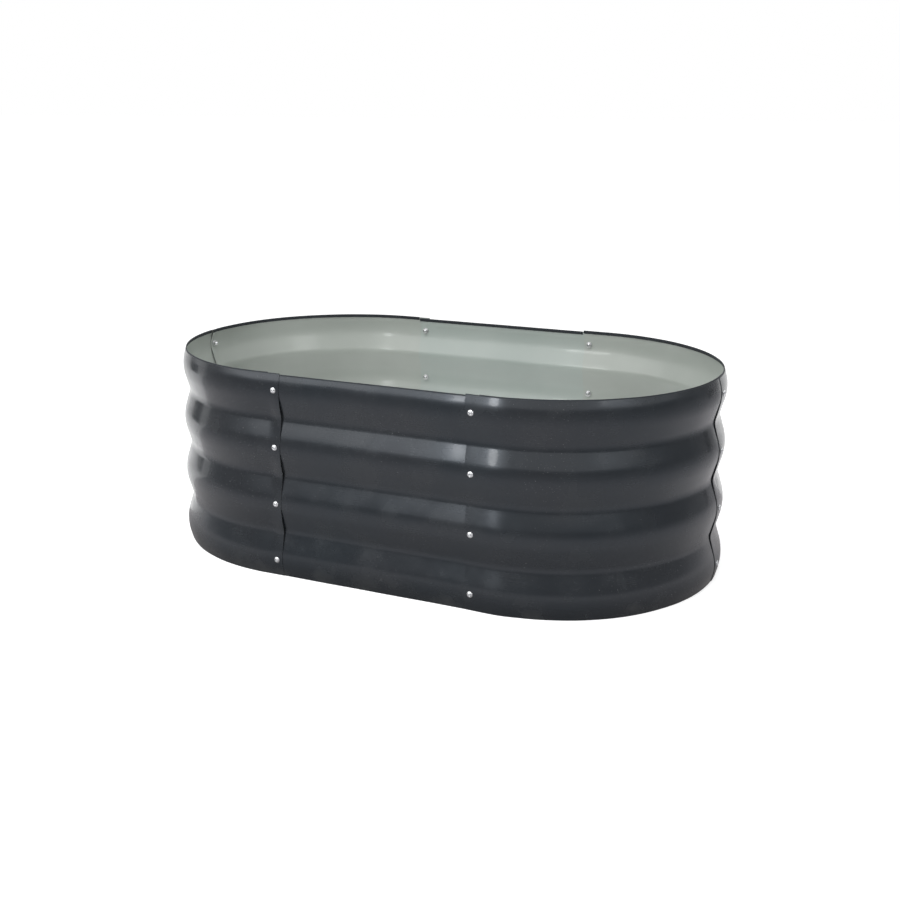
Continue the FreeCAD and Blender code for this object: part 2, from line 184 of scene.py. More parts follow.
def outsidePaint():
    # Anthracite coil coating: cloudy tone, dust near the ground, light specks, and painted shade over the
    # rim's fold: a darker colour there, with a duller skin.
    look, share = outsideLook, outsideLook["share"]
    finish, start = newFinish("anthracite_coating")
    place, height, sheet, cloud, smudge, rough, relief = coatPattern(start, look)
    # Mask over the top of the rim's fold: painted shade in the colour, real dulling in the roughness and
    # the coat.
    fold = start.node("ShaderNodeSeparateXYZ", None, {0: sheet}, 1).between(*look["foldRange"])
    low = 1 - height.between(*look["dustFade"])
    dust = (low * look["dustLow"] + look["dustAll"]) * smudge.between(*look["smudgeRange"])
    specks = place.noise(*look["specks"]).between(*look["speckRange"])
    specks = specks * cloud.between(*look["speckPatches"])
    colour = cloud.between(*look["toneRange"]).blend(look["cool"], look["warm"])
    colour = (dust * share["dust"]).blend(colour, look["dust"])
    colour = (specks * share["scuff"]).blend(colour, look["scuff"])
    # Painted shade: the top of the rim's fold is darkened.
    colour = (fold * share["rim"]).blend(colour, look["rim"])
    shader = {
        "Base Color": colour,
        "Roughness": rough + dust * look["roughBy"]["dust"] + fold * look["roughBy"]["fold"],
        "IOR": look["ior"],
        "Specular Tint": look["specularTint"],
        "Coat Weight": (look["coat"] - dust * look["coatUnderDust"]) * (1 - fold),
        "Coat Roughness": look["coatRoughness"],
    }
    closeFinish(start, shader, relief, look["bumpDepth"])
    return finish


insideLook = {
    "light": {"end": rgb(174, 180, 174), "side": rgb(172, 181, 176)},
    "deep": {"end": rgb(163, 169, 163), "side": rgb(162, 172, 167)},
    "stain": rgb(134, 138, 129),
    "stainShare": 0.4,
    "stainFade": (0.0, 0.09),  # heights over which the stain from the ground fades
    "cloud": (4, 4),
    "smudge": (23, 5),
    "peel": (800, 2),
    "toneRange": (0.3, 0.7),
    "smudgeRange": (0.4, 0.7),
    "roughness": 0.32,
    "roughBy": {"smudge": 0.14, "lines": 0.05, "stain": 0.2},
    "reliefBy": {"peel": 0.6, "lines": 0.5, "smudge": 1.2},
    "bumpDepth": 0.00004,
    "ior": 1.45,
    "coat": 0.22,
    "coatRoughness": 0.12,
}


def insidePaint(batch):
    # Grey-green backing coat: softer gloss, stained and duller near the ground. The side panels come from a
    # cooler batch than the end panels.
    look = insideLook
    finish, start = newFinish(f"sage_backing_coat_{batch}")
    _, height, _, cloud, smudge, rough, relief = coatPattern(start, look)
    stain = (1 - height.between(*look["stainFade"])) * smudge.between(*look["smudgeRange"])
    colour = cloud.between(*look["toneRange"]).blend(look["deep"][batch], look["light"][batch])
    shader = {
        "Base Color": (stain * look["stainShare"]).blend(colour, look["stain"]),
        "Roughness": rough + stain * look["roughBy"]["stain"],
        "IOR": look["ior"],
        "Coat Weight": look["coat"],
        "Coat Roughness": look["coatRoughness"],
    }
    closeFinish(start, shader, relief, look["bumpDepth"])
    return finish


edgeLook = {
    "dark": rgb(74, 76, 78),
    "light": rgb(128, 130, 132),
    "bloom": (300, 4),
    "toneRange": (0.35, 0.65),
    "metallic": 0.6,
    "roughness": 0.4,
    "roughSpread": 0.3,
    "bumpDepth": 0.00003,
}


def cutEdge():
    # Sheared edge of the sheet: dull zinc under the coating's drawn-over skin.
    look = edgeLook
    finish, start = newFinish("zinc_cut_edge")
    bloom = start.node("ShaderNodeTexCoord", out=3).noise(*look["bloom"])
    shader = {
        "Base Color": bloom.between(*look["toneRange"]).blend(look["dark"], look["light"]),
        "Metallic": look["metallic"],
        "Roughness": look["roughness"] + bloom * look["roughSpread"],
    }
    closeFinish(start, shader, bloom, look["bumpDepth"])
    return finish


zincLook = {
    "bolts": {"dark": rgb(205, 207, 209), "light": rgb(232, 233, 235), "roughness": 0.24},
    "washers": {"dark": rgb(186, 188, 190), "light": rgb(214, 215, 216), "roughness": 0.34},
    "nuts": {"dark": rgb(190, 191, 192), "light": rgb(222, 222, 221), "roughness": 0.30},
}
zincGrain = {
    "crystal": (900, 3),
    "toneRange": (0.35, 0.65),
    "marks": (2600, 2),
    "markStretch": (1, 1, 6),
    "markRelief": 0.4,
    "roughSpread": 0.25,
    "bumpDepth": 0.00002,
}


def brightZinc(kind):
    # Zinc plating on a kind of fastener: light and dark crystals and fine marks.
    look, grain = zincLook[kind], zincGrain
    finish, start = newFinish(f"bright_zinc_{kind}")
    place = start.node("ShaderNodeTexCoord", out=3)
    crystal = place.noise(*grain["crystal"])
    marks = place.stretched(*grain["markStretch"]).noise(*grain["marks"])
    shader = {
        "Base Color": crystal.between(*grain["toneRange"]).blend(look["dark"], look["light"]),
        "Metallic": 1.0,
        "Roughness": look["roughness"] + (crystal - 0.5) * grain["roughSpread"],
    }
    closeFinish(start, shader, crystal + marks * grain["markRelief"], grain["bumpDepth"])
    return finish


paintOut = outsidePaint()
paintIn = {batch: insidePaint(batch) for batch in ("end", "side")}
bareEdge = cutEdge()
zinc = {kind: brightZinc(kind) for kind in zincLook}
print("finishes made")

sharpAngle = 38  # degrees between two faces from which their edge is drawn sharp


def addPiece(name, points, faces, finishes, kinds, node, uv=None):
    # One closed mesh at the origin. points: N x 3. faces: M x 4 with their outer side anticlockwise. kinds:
    # the finish number of each face. uv: N x 2, a place on the flattened sheet for each point.
    mesh = bpy.data.meshes.new(name)
    mesh.vertices.add(len(points))
    mesh.vertices.foreach_set("co", points.astype(np.float32).ravel())
    mesh.loops.add(faces.size)
    mesh.loops.foreach_set("vertex_index", faces.astype(np.int32).ravel())
    mesh.polygons.add(len(faces))
    mesh.polygons.foreach_set("loop_start", np.arange(0, faces.size, 4, dtype=np.int32))
    for finish in finishes:
        mesh.materials.append(finish)
    mesh.polygons.foreach_set("material_index", kinds.astype(np.int32))
    if uv is not None:
        layer = mesh.uv_layers.new(name="sheet")
        layer.data.foreach_set("uv", uv[faces.ravel()].astype(np.float32).ravel())
    mesh.update(calc_edges=True)
    mesh.validate()
    mesh.shade_smooth()
    mesh.set_sharp_from_angle(angle=math.radians(sharpAngle))
    piece = bpy.data.objects.new(name, mesh)
    bpy.context.scene.collection.objects.link(piece)
    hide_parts(node)
    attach(piece, "root")


def gridFaces(rows, columns, closedRows=False, closedColumns=False, first=0):
    # Quads of a grid whose point (i, j) has the number first + i * columns + j.
    i = np.arange(rows if closedRows else rows - 1)
    j = np.arange(columns if closedColumns else columns - 1)
    i, j = (part.ravel() for part in np.meshgrid(i, j, indexing="ij"))
    up, over = (i + 1) % rows, (j + 1) % columns
    corners = [i * columns + j, up * columns + j, up * columns + over, i * columns + over]
    return first + np.stack(corners, 1)


def discFaces(first, count):
    # Quads that close a ring of an even number of points, as a ladder across it.
    k = np.arange(count // 2 - 1)
    return first + np.stack([k, k + 1, count - 2 - k, count - 1 - k], 1)


sheetForm = {
    "crests": 4,  # with a bolt through each at every seam
    "pitch": 0.117,  # from crest to crest
    "edgeToCrest": 0.0345,  # from the ground to the lowest crest
    "waveDepth": 0.0125,
    "crestBend": 0.080,  # radius on the outer face
    "valleyBend": 0.030,
    "thick": 0.0008,
    "foldRadius": 0.0011,  # outside of the rim's fold
    "foldGap": 0.0006,
    "foldLeg": 0.0065,
    "lapPastBolt": 0.013,
    "foldNotch": 0.002,  # a lapped fold stops this far short of its neighbour's end
    "foldEnd": 0.00002,  # half the length over which the fold gives way to the cut edge
    "cutShare": 0.45,  # how far each face runs in across the sheet at the cut edge
    "bendSteps": 14,  # divisions of one crest or valley
    "flankSteps": 4,
    "foldSteps": 10,
    "legSteps": 3,
    "columnStep": 0.006,  # along the sheet
    "edgeColumns": 12,  # closer columns where a lapped edge springs
}

unevenness = {
    "waves": ((0.31, 0.00030), (0.19, 0.00022), (0.12, 0.00012), (0.075, 0.00006)),  # length, height
    "slant": 0.9,  # of a wave's run to the sheet's, in radians either way
    "calm": (0.012, 0.06),  # from a column of bolts, where the waves start and where they are full
}

springForm = {
    "flareReach": 0.03,  # from a lapped edge back to where it lies flat
    "flarePower": 1.25,  # above 1 it is widest over the valley, not in it
    "bulgeReach": 0.09,
    "gapeRise": (0.006, 0.024),  # heights from a bolt between which the gape opens
    "gapeReach": 0.02,
}


def flankLean():
    # Angle of a flank from upright. It is the tangent that crosses between a crest's and a valley's circle.
    form = sheetForm
    half = form["pitch"] / 2
    both = form["crestBend"] + form["valleyBend"]
    offset = both - form["waveDepth"]
    return math.asin(both / math.hypot(offset, half)) - math.atan(offset / half)


def waveOut(height):
    # Distance of the outer face from its crest line: circles about the crests and the valleys, joined by
    # the straight flanks that touch both. Also the slope of that distance over height.
    form = sheetForm
    half = form["pitch"] / 2
    crest, valley = form["crestBend"], form["valleyBend"]
    lean = flankLean()
    crestReach, valleyReach = crest * math.sin(lean), valley * math.sin(lean)
    signed = (height - form["edgeToCrest"] + half) % form["pitch"] - half
    away = np.abs(signed)
    toValley = half - away
    onCrest = np.sqrt(crest**2 - np.minimum(away, crestReach) ** 2)
    inValley = np.sqrt(valley**2 - np.minimum(toValley, valleyReach) ** 2)
    out = crest * (math.cos(lean) - 1) - (away - crestReach) * math.tan(lean)
    out = np.where(away <= crestReach, onCrest - crest, out)
    out = np.where(toValley <= valleyReach, valley - form["waveDepth"] - inValley, out)
    slope = np.full_like(away, -math.tan(lean))
    slope = np.where(away <= crestReach, -away / onCrest, slope)
    slope = np.where(toValley <= valleyReach, -toValley / inValley, slope)
    return out, slope * np.sign(signed)


def waveHeights(top):
    # Heights of the section's points: even turns round every bend, even steps up every flank.
    form = sheetForm
    lean = flankLean()
    middles = np.arange(form["edgeToCrest"], top, form["pitch"] / 2)
    bend = np.where(np.arange(len(middles)) % 2 == 0, form["crestBend"], form["valleyBend"])
    turn = np.sin(np.linspace(-lean, lean, form["bendSteps"] + 1))
    bends = middles[:, None] + bend[:, None] * turn
    ends = np.concatenate([[0], bends[:, [0, -1]].ravel(), [top]]).reshape(-1, 2)
    share = np.linspace(0, 1, form["flankSteps"] + 1)
    flanks = ends[:, :1] + (ends[:, 1:] - ends[:, :1]) * share
    return np.unique(np.round(np.concatenate([bends.ravel(), flanks.ravel()]), 7))


def sheetSection(rim):
    # Two matching rows of points (out from the crest line, height): the painted outside from the ground
    # over the fold to its tip, and the side that faces into the sheet. The first pair has the fold, and the
    # second is cut off square. Also the number of points in a row below the fold.
    form = sheetForm
    lean = flankLean()
    top = rim - form["foldRadius"] * (1 - math.sin(lean))
    height = waveHeights(top)
    height = height[height <= top + 1e-6]  # they are rounded, and the last one is top
    out, slope = waveOut(height)
    normal = np.stack([np.ones_like(slope), -slope], 1) / np.hypot(1, slope)[:, None]
    outside = np.stack([out, height], 1)
    inside = outside - form["thick"] * normal
    inside[0] = outside[0] - np.array([form["thick"] / math.cos(lean), 0])
    square = np.array([math.cos(lean), math.sin(lean)])
    upward = np.array([-math.sin(lean), math.cos(lean)])
    middle = outside[-1] - form["foldRadius"] * square
    turn = np.linspace(0, math.pi, form["foldSteps"] + 1)[1:, None]
    bend = np.cos(turn) * square + np.sin(turn) * upward
    leg = np.linspace(0, form["foldLeg"], form["legSteps"] + 1)[1:, None] * -upward
    hem = []
    for radius in (form["foldRadius"], form["foldGap"] / 2):
        hem.append(np.concatenate([middle + radius * bend, middle - radius * square + leg]))
    folded = np.stack([np.concatenate([outside, hem[0]]), np.concatenate([inside, hem[1]])])
    share = np.linspace(0, form["cutShare"], len(hem[0]) + 1)[1:, None]
    across = inside[-1] - outside[-1]
    stub = [outside[-1] + share * across, inside[-1] - share * across]
    plain = np.stack([np.concatenate([outside, stub[0]]), np.concatenate([inside, stub[1]])])
    return folded, plain, len(height)


def ripple(along, height, seed):
    # Slight unevenness of a pressed sheet: a sum of long slanting waves of random direction, in metres.
    rng = np.random.default_rng(seed)
    slant = unevenness["slant"]
    total = 0
    for length, size in unevenness["waves"]:
        turn = rng.uniform(-slant, slant)
        phase = rng.uniform(0, 2 * math.pi)
        run = along * math.cos(turn) + height * math.sin(turn)
        total = total + size * np.sin(2 * math.pi / length * run + phase)
    return total


def smooth(value, low, high):
    share = np.clip((value - low) / (high - low), 0, 1)
    return share * share * (3 - 2 * share)


def lapFlare(toEdge, height, sizes):
    # A lapped edge springs outwards between its bolts: the square of a sine from crest to crest, strongest
    # above the valley, and fading away from the edge. sizes: the gape of each gap from the lowest up.
    form = sheetForm
    part = (height - form["edgeToCrest"]) / form["pitch"]
    gap = np.clip(np.floor(part).astype(int), 0, len(sizes) - 1)
    share = np.where((part < 0) | (part > len(sizes)), 0, part - gap)
    lobe = np.sin(math.pi * share ** springForm["flarePower"]) ** 2
    near = 1 - smooth(toEdge, 0.0, springForm["flareReach"])
    return np.array(sizes)[gap] * lobe * near


def sweepSheet(node, path, rim, seed, bolts):
    # Carries the section along a path: base point, outward direction, distance along the sheet and whether
    # the rim is folded, one for each column, then the spring as a function of distance and height, and the
    # distance from the base points out to the crests. bolts: where along the sheet bolts hold it.
    base, outward, along, folded, spring, radius = path
    hem, plain, waveCount = sheetSection(rim)
    share = folded[:, None, None, None]
    section = share * hem[None] + (1 - share) * plain[None]
    out, height = section[..., 0], section[..., 1]
    distance = along[:, None, None]
    calm = np.ones_like(distance)
    for place in bolts:
        calm = calm * smooth(np.abs(distance - place), *unevenness["calm"])
    reach = radius + out + ripple(distance, height, seed) * calm + spring(distance, height)
    x = base[:, 0, None, None] + reach * outward[:, 0, None, None]
    y = base[:, 1, None, None] + reach * outward[:, 1, None, None]
    grid = np.stack([x, y, height], -1)
    columns, count = len(along), section.shape[2]
    points = grid.transpose(1, 0, 2, 3).reshape(-1, 3)
    length = np.concatenate([[0], np.cumsum(np.hypot(*np.diff(hem[0], axis=0).T))])
    length = length - length[waveCount - 1]
    uv = np.stack(np.broadcast_arrays(along[None, :, None], length[None, None, :]), -1)
    uv = np.broadcast_to(uv, (2, columns, count, 2)).reshape(-1, 2)
    number = np.arange(2 * columns * count).reshape(2, columns, count)

    def strip(first, second):
        # Quads between two rows of point numbers.
        return np.stack([first[:-1], first[1:], second[1:], second[:-1]], 1)

    outer = gridFaces(columns, count)
    inner = gridFaces(columns, count, first=columns * count)[:, ::-1]
    foot = strip(number[1, :, 0], number[0, :, 0])
    tip = strip(number[0, :, -1], number[1, :, -1])
    start = strip(number[0, 0], number[1, 0])
    end = strip(number[1, -1], number[0, -1])
    faces = np.concatenate([outer, inner, foot, tip, start, end])

    # Each face's finish: painted outside and inside, and bare metal at every edge and where the rim is cut.
    painted, backed, bare = 0, 1, 2
    column, row = np.divmod(np.arange(len(outer)), count - 1)
    cutOff = (folded[:-1] + folded[1:])[column] < 2
    isCut = cutOff & (row >= waveCount - 1)
    edges = np.full(len(faces) - 2 * len(outer), bare)
    kinds = np.concatenate([np.where(isCut, bare, painted), np.where(isCut, bare, backed), edges])

    # A path that runs the other way round the bed would turn the sheet inside out.
    eastward = np.gradient(base[:, 0] + radius * outward[:, 0])[1]
    northward = np.gradient(base[:, 1] + radius * outward[:, 1])[1]
    if eastward * outward[1, 1] - northward * outward[1, 0] > 0:
        faces = faces[:, ::-1]
    finishes = [paintOut, paintIn["side" if "side" in node else "end"], bareEdge]
    addPiece(f"{node}_sheet", points, faces, finishes, kinds, node, uv)


def columnsAlong(start, end, foldFrom, foldTo, edges):
    # Distances of the columns: even steps, closer ones by a lapped edge, and a pair wherever the fold ends.
    # Also 1 for each column with the fold, and 0 for the rest.
    form = sheetForm
    places = [np.linspace(start, end, round((end - start) / form["columnStep"]) + 1)]
    for edge in edges:
        inward = 1 if edge == start else -1
        closer = np.linspace(0, springForm["flareReach"], form["edgeColumns"] + 1)
        places.append(edge + inward * closer)
    for place in (foldFrom, foldTo):
        if start < place < end:
            places.append(np.array([place - form["foldEnd"], place + form["foldEnd"]]))
    along = np.unique(np.round(np.concatenate(places), 8))
    inFold = (along > foldFrom) & (along < foldTo)
    inFold |= (along <= start) & (foldFrom <= start)
    inFold |= (along >= end) & (foldTo >= end)
    return along, inFold.astype(float)


beyond = 1.0  # a fold that ends this far past the sheet's end runs to that end

sidePanels = {
    "near": {"facing": -1, "flares": None, "seed": 11},
    "far": {"facing": 1, "flares": (0.0010, 0.0014, 0.0008), "seed": 12},
}


def buildSidePanel(name, panel):
    # A straight sheet. flares: the gape of its right-hand edge, where that lies over its neighbour.
    node = f"{name}_side_panel"
    form = sheetForm
    low, high = frameBox(node)
    facing = panel["facing"]
    radius = high[1] if facing > 0 else -low[1]
    laps = panel["flares"] is not None
    short = 2 * form["lapPastBolt"] + form["foldNotch"]
    foldTo = high[0] - short if laps else high[0] + beyond
    along, folded = columnsAlong(low[0], high[0], low[0] - beyond, foldTo, [high[0]] if laps else [])
    base = np.stack([along, np.zeros_like(along)], 1)
    outward = np.stack([np.zeros_like(along), np.full_like(along, facing)], 1)

    def spring(distance, height):
        return lapFlare(high[0] - distance, height, panel["flares"]) if laps else 0

    path = base, outward, along, folded, spring, radius
    bolts = (low[0] + form["lapPastBolt"], high[0] - form["lapPastBolt"])
    sweepSheet(node, path, high[2], panel["seed"], bolts)


endPanels = {
    "near_right": {
        "side": 1,
        "facing": -1,
        "overSide": (0.0006, 0.0005, 0.0006),
        "overEnd": None,
        "bulge": 0.0016,
        "seed": 21,
    },
    "far_right": {
        "side": 1,
        "facing": 1,
        "overSide": None,
        "overEnd": (0.0012, 0.0015, 0.0012),
        "seed": 22,
    },
    "far_left": {
        "side": -1,
        "facing": 1,
        "overSide": (0.0012, 0.0010, 0.0014),
        "overEnd": None,
        "gape": 0.0022,
        "seed": 23,
    },
    "near_left": {
        "side": -1,
        "facing": -1,
        "overSide": (0.0040, 0.0044, 0.0044),
        "overEnd": (0.0010, 0.0012, 0.0010),
        "seed": 24,
    },
}


def buildEndPanel(name, panel):
    # A quarter circle with a short flat at its start. overSide and overEnd: the gape of an edge that lies
    # over the neighbour, at the side panel and at the bed's end. bulge: how far the sheet stands out behind
    # its first bolts, as half a wave of a sine through them. gape: how far the under edge at the bed's end
    # springs inwards.
    node = f"{name}_end_panel"
    form, give = sheetForm, springForm
    low, high = frameBox(node)
    side, facing = panel["side"], panel["facing"]
    radius = -frameBox("near_side_panel")[0][1]
    centreX = high[0] - radius if side > 0 else low[0] + radius
    centreY = high[1] - radius if facing > 0 else low[1] + radius
    flat = side * (centreX - (low[0] if side > 0 else high[0]))
    past = (centreY - low[1]) if facing > 0 else (high[1] - centreY)
    end = radius * (math.pi / 2 + math.asin(past / radius))
    notchTurn = math.asin((form["lapPastBolt"] + form["foldNotch"]) / radius)
    short = 2 * form["lapPastBolt"] + form["foldNotch"]
    foldFrom = short - flat if panel["overSide"] else -flat - beyond
    foldTo = radius * (math.pi / 2 - notchTurn) if panel["overEnd"] else end + beyond
    edges = [-flat] if panel["overSide"] else []
    if panel["overEnd"] or "gape" in panel:
        edges.append(end)
    along, folded = columnsAlong(-flat, end, foldFrom, foldTo, edges)
    turn = np.maximum(along, 0) / radius
    base = np.stack([centreX + side * np.minimum(along, 0), np.full_like(along, centreY)], 1)
    outward = np.stack([side * np.sin(turn), facing * np.cos(turn)], 1)

    def spring(distance, height):
        fromBolts = np.clip((distance + flat - form["lapPastBolt"]) / give["bulgeReach"], -1, 1)
        total = panel.get("bulge", 0) * np.sin(math.pi * fromBolts)
        if panel["overSide"]:
            total = total + lapFlare(distance + flat, height, panel["overSide"])
        if panel["overEnd"]:
            total = total + lapFlare(end - distance, height, panel["overEnd"])
        if "gape" in panel:
            part = (height - form["edgeToCrest"]) / form["pitch"]
            fromBolt = np.abs(part - np.round(part)) * form["pitch"]
            opened = panel["gape"] * smooth(fromBolt, *give["gapeRise"])
            total = total - opened * (1 - smooth(end - distance, 0, give["gapeReach"]))
        return total

    path = base, outward, along, folded, spring, radius
    bolts = (-flat + form["lapPastBolt"], radius * math.pi / 2)
    sweepSheet(node, path, high[2], panel["seed"], bolts)


for name, panel in sidePanels.items():
    buildSidePanel(name, panel)
for name, panel in endPanels.items():
    buildEndPanel(name, panel)
print("panels made")


onAxis = 0.00004  # radius of the smallest ring, which a disc closes

boltForm = {
    "headRadius": 0.006,
    "headRim": 0.0009,
    "headTall": 0.0036,
    "rimRow": 0.00055,  # height of the row of points on the head's side
    "soft": 0.0001,  # the head's lower edge
    "neck": 0.0003,  # fillet under the head
    "shank": 0.003,
    "length": 0.012,
    "threadFrom": 0.005,  # from the head's seat to the first thread
    "threadRun": 0.0008,  # over which the thread reaches its depth
    "threadStop": 0.0007,  # short of the tip
    "threadPitch": 0.001,
    "threadDepth": 0.00045,
    "threadSteps": 7,  # rows of points to a turn
    "tipTall": 0.0004,
    "tipIn": (0.0005, 0.0008),  # what the tip's two rings are smaller by than the shank
    "crossRings": (0.0040, 27),  # outermost ring over the cross, and their number
    "domeRings": (0.0043, 7),
    "crossReach": 0.0034,
    "crossWidth": 0.0007,
    "crossTaper": (1.15, 0.35),  # share of that width in the middle, and what it loses towards the end
    "crossWall": 0.00012,  # half the width of the steep wall
    "crossDeep": 0.0019,
    "crossLevel": 0.0008,  # reach of the level floor
    "crossRise": 0.9,  # share of the depth that the floor gains beyond it
    "crossEnd": 0.0004,
    "around": 72,
}


def crossRecess(across, up):
    # Depth of the cross: two bars whose floor rises from the middle to their ends, with steep walls.
    form = boltForm
    end = form["crossReach"]
    wide, loss = form["crossTaper"]
    far = np.maximum(np.abs(across), np.abs(up))
    near = np.minimum(np.abs(across), np.abs(up))
    taper = form["crossWidth"] * (wide - loss * far / end)
    wall = 1 - smooth(near, taper - form["crossWall"], taper + form["crossWall"])
    floor = form["crossDeep"] * (1 - smooth(far, form["crossLevel"], end) * form["crossRise"])
    return floor * wall * (1 - smooth(far, end - form["crossEnd"], end))


def boltSurface(turn):
    # Rows (out from the seat, radius) turned about the axis: from the head's middle over the dome, under
    # the head and down the threaded shank to its tip. turn: rotation of the cross.
    form = boltForm
    angle = np.linspace(0, 2 * math.pi, form["around"], endpoint=False)
    head, shank, soft, neck = form["headRadius"], form["shank"], form["soft"], form["neck"]

    # The dome is part of a ball that passes through the head's rim.
    dome = form["headTall"] - form["headRim"]
    bend = (head**2 + dome**2) / (2 * dome)
    crossLast, crossCount = form["crossRings"]
    domeFirst, domeCount = form["domeRings"]
    overCross = np.linspace(onAxis, crossLast, crossCount)
    rings = np.concatenate([overCross, np.linspace(domeFirst, head, domeCount)])
    radius = np.broadcast_to(rings[:, None], (len(rings), len(angle)))
    out = form["headTall"] - bend + np.sqrt(bend**2 - radius**2)
    out = out - crossRecess(radius * np.cos(angle - turn), radius * np.sin(angle - turn))
    rimRows = np.array([[form["rimRow"], 0], [soft, 0], [0, -soft], [0, shank + neck - head]])
    rimOut = rimRows[:, :1] + 0 * angle
    rimRadius = head + rimRows[:, 1:] + 0 * angle

    # The thread is a V-shaped groove that climbs one pitch with each turn.
    step = form["threadPitch"] / form["threadSteps"]
    down = np.arange(neck, form["length"] - form["threadStop"], step)
    start = form["threadFrom"]
    wave = (down[:, None] / form["threadPitch"] - angle / (2 * math.pi)) % 1
    grown = smooth(down, start, start + form["threadRun"])[:, None]
    shankRadius = shank - form["threadDepth"] * np.abs(2 * wave - 1) * grown
    shankOut = -down[:, None] + 0 * angle
    length = form["length"]
    first, last = form["tipIn"]
    tipOut = np.array([[-length + form["tipTall"]], [-length], [-length]]) + 0 * angle
    tipRadius = np.array([[shank - first], [shank - last], [onAxis]]) + 0 * angle
    outs = np.concatenate([out, rimOut, shankOut, tipOut])
    radii = np.concatenate([radius, rimRadius, shankRadius, tipRadius])
    return outs, radii, angle


washerForm = {"radius": 0.007, "hole": 0.0032, "thick": 0.0012, "soft": 0.0002, "around": 64}


def washerSurface(_):
    # A loop of (out, radius) turned about the axis: a flat ring with rounded edges. A turn changes nothing.
    form = washerForm
    soft = form["soft"]
    outer, inner = form["radius"] - soft, form["hole"] + soft
    front, back = -soft, soft - form["thick"]
    corner = np.linspace(0, math.pi / 2, 4)
    middles = ((outer, front), (inner, front), (inner, back), (outer, back))
    outs, radii = [], []
    for quarter, (middleRadius, middleOut) in enumerate(middles):
        bend = corner + quarter * math.pi / 2
        radii.append(middleRadius + soft * np.cos(bend))
        outs.append(middleOut + soft * np.sin(bend))
    angle = np.linspace(0, 2 * math.pi, form["around"], endpoint=False)
    return np.concatenate(outs)[:, None] + 0 * angle, np.concatenate(radii)[:, None] + 0 * angle, angle


nutForm = {
    "flats": 0.010,
    "tall": 0.005,
    "hole": 0.0031,
    "sink": 0.0004,  # depth and width of the hole's countersink
    "coneShare": 0.955,  # of half the flats, the radius of the cone at the nut's end
    "rows": (0, 0.00015, 0.0003, 0.00045, 0.0006, 0.0009, 0.0013),  # distances from an end
    "around": 72,
}


def nutSurface(turn):
    # A loop of (out, radius) turned about the axis: six flats cut by a 30 degree cone at each end, and the
    # hole. A flat's radius is half its width over the cosine of the angle from its middle.
    form = nutForm
    angle = np.linspace(0, 2 * math.pi, form["around"], endpoint=False)
    sixth = math.pi / 3
    flat = form["flats"] / 2 / np.cos((angle - turn + sixth / 2) % sixth - sixth / 2)
    rows, tall, sink = np.array(form["rows"]), form["tall"], form["sink"]
    down = np.concatenate([rows, tall - rows[::-1]])
    toEnd = np.minimum(down, tall - down)
    cone = form["flats"] / 2 * form["coneShare"] + toEnd * math.sqrt(3)
    outer = np.minimum(flat[None, :], cone[:, None])
    holeDown = np.array([tall, tall - sink, sink, 0])
    hole = form["hole"] + np.array([sink, 0, 0, sink])
    outs = -np.concatenate([down, holeDown])[:, None] + 0 * angle
    radii = np.concatenate([outer, hole[:, None] + 0 * angle])
    return outs, radii, angle


seams = {
    # the way out of the bed, along and across it
    "near_left": (0, -1),
    "near_right": (0, -1),
    "far_left": (0, 1),
    "far_right": (0, 1),
    "right_end": (1, 0),
    "left_end": (-1, 0),
}
fastenerKinds = {
    # surface, slot, and whether its rows close to a loop
    "bolts": (boltSurface, "bolt_steel", False),
    "washers": (washerSurface, "washer_steel", True),
    "nuts": (nutSurface, "nut_steel", True),
}
fastenerRng = np.random.default_rng(7)


def buildFasteners(kind, seam, way):
    # One piece with a fastener on each crest. Its face is set at the outer side of the frame's solid, and
    # the heights run from the seam's lowest bolt to its highest.
    surface, slot, loop = fastenerKinds[kind]
    node = f"{kind}_{seam}"
    low, high = frameBox(node)
    outward = np.array([*way, 0.0])
    sideways = np.array([-way[1], way[0], 0.0])
    upward = np.array([0.0, 0.0, 1.0])
    middle = (low + high) / 2
    boltLow, boltHigh = frameBox(f"bolts_{seam}")
    head = boltForm["headRadius"]
    heights = np.linspace(boltLow[2], boltHigh[2] - 2 * head, sheetForm["crests"]) + head
    face = np.max([low @ outward, high @ outward])
    if kind == "bolts":
        face = face - boltForm["headTall"]
    allPoints, allFaces = [], []
    for height in heights:
        outs, radii, angle = surface(fastenerRng.uniform(0, 2 * math.pi))
        origin = middle * np.abs(sideways) + upward * height + outward * face
        cosine, sine = np.cos(angle), np.sin(angle)
        grid = (origin + outs[..., None] * outward
                + (radii * cosine)[..., None] * sideways + (radii * sine)[..., None] * upward)
        first = sum(len(points) for points in allPoints)
        rows, columns = outs.shape
        allPoints.append(grid.reshape(-1, 3))
        allFaces.append(gridFaces(rows, columns, loop, True, first)[:, ::-1])
        if not loop:
            allFaces.append(discFaces(first, columns))
            allFaces.append(discFaces(first + (rows - 1) * columns, columns)[:, ::-1])
    points = np.concatenate(allPoints)
    faces = np.concatenate(allFaces)
    addPiece(f"{node}_plated", points, faces, [zinc[kind]], np.zeros(len(faces)), node)


for seam, way in seams.items():
    for kind in fastenerKinds:
        buildFasteners(kind, seam, way)
print("fasteners made")


def seenRay(start):
    # 1 for rays that show the background: from the camera, in a reflection or through glass.
    camera = start.node("ShaderNodeLightPath", out="Is Camera Ray")
    glossy = start.node("ShaderNodeLightPath", out="Is Glossy Ray")
    through = start.node("ShaderNodeLightPath", out="Is Transmission Ray")
    return camera.math("MAXIMUM", camera, glossy.math("MAXIMUM", glossy, through))


floorLook = {"size": 120.0, "colour": rgb(226, 226, 226), "lift": 0.70}


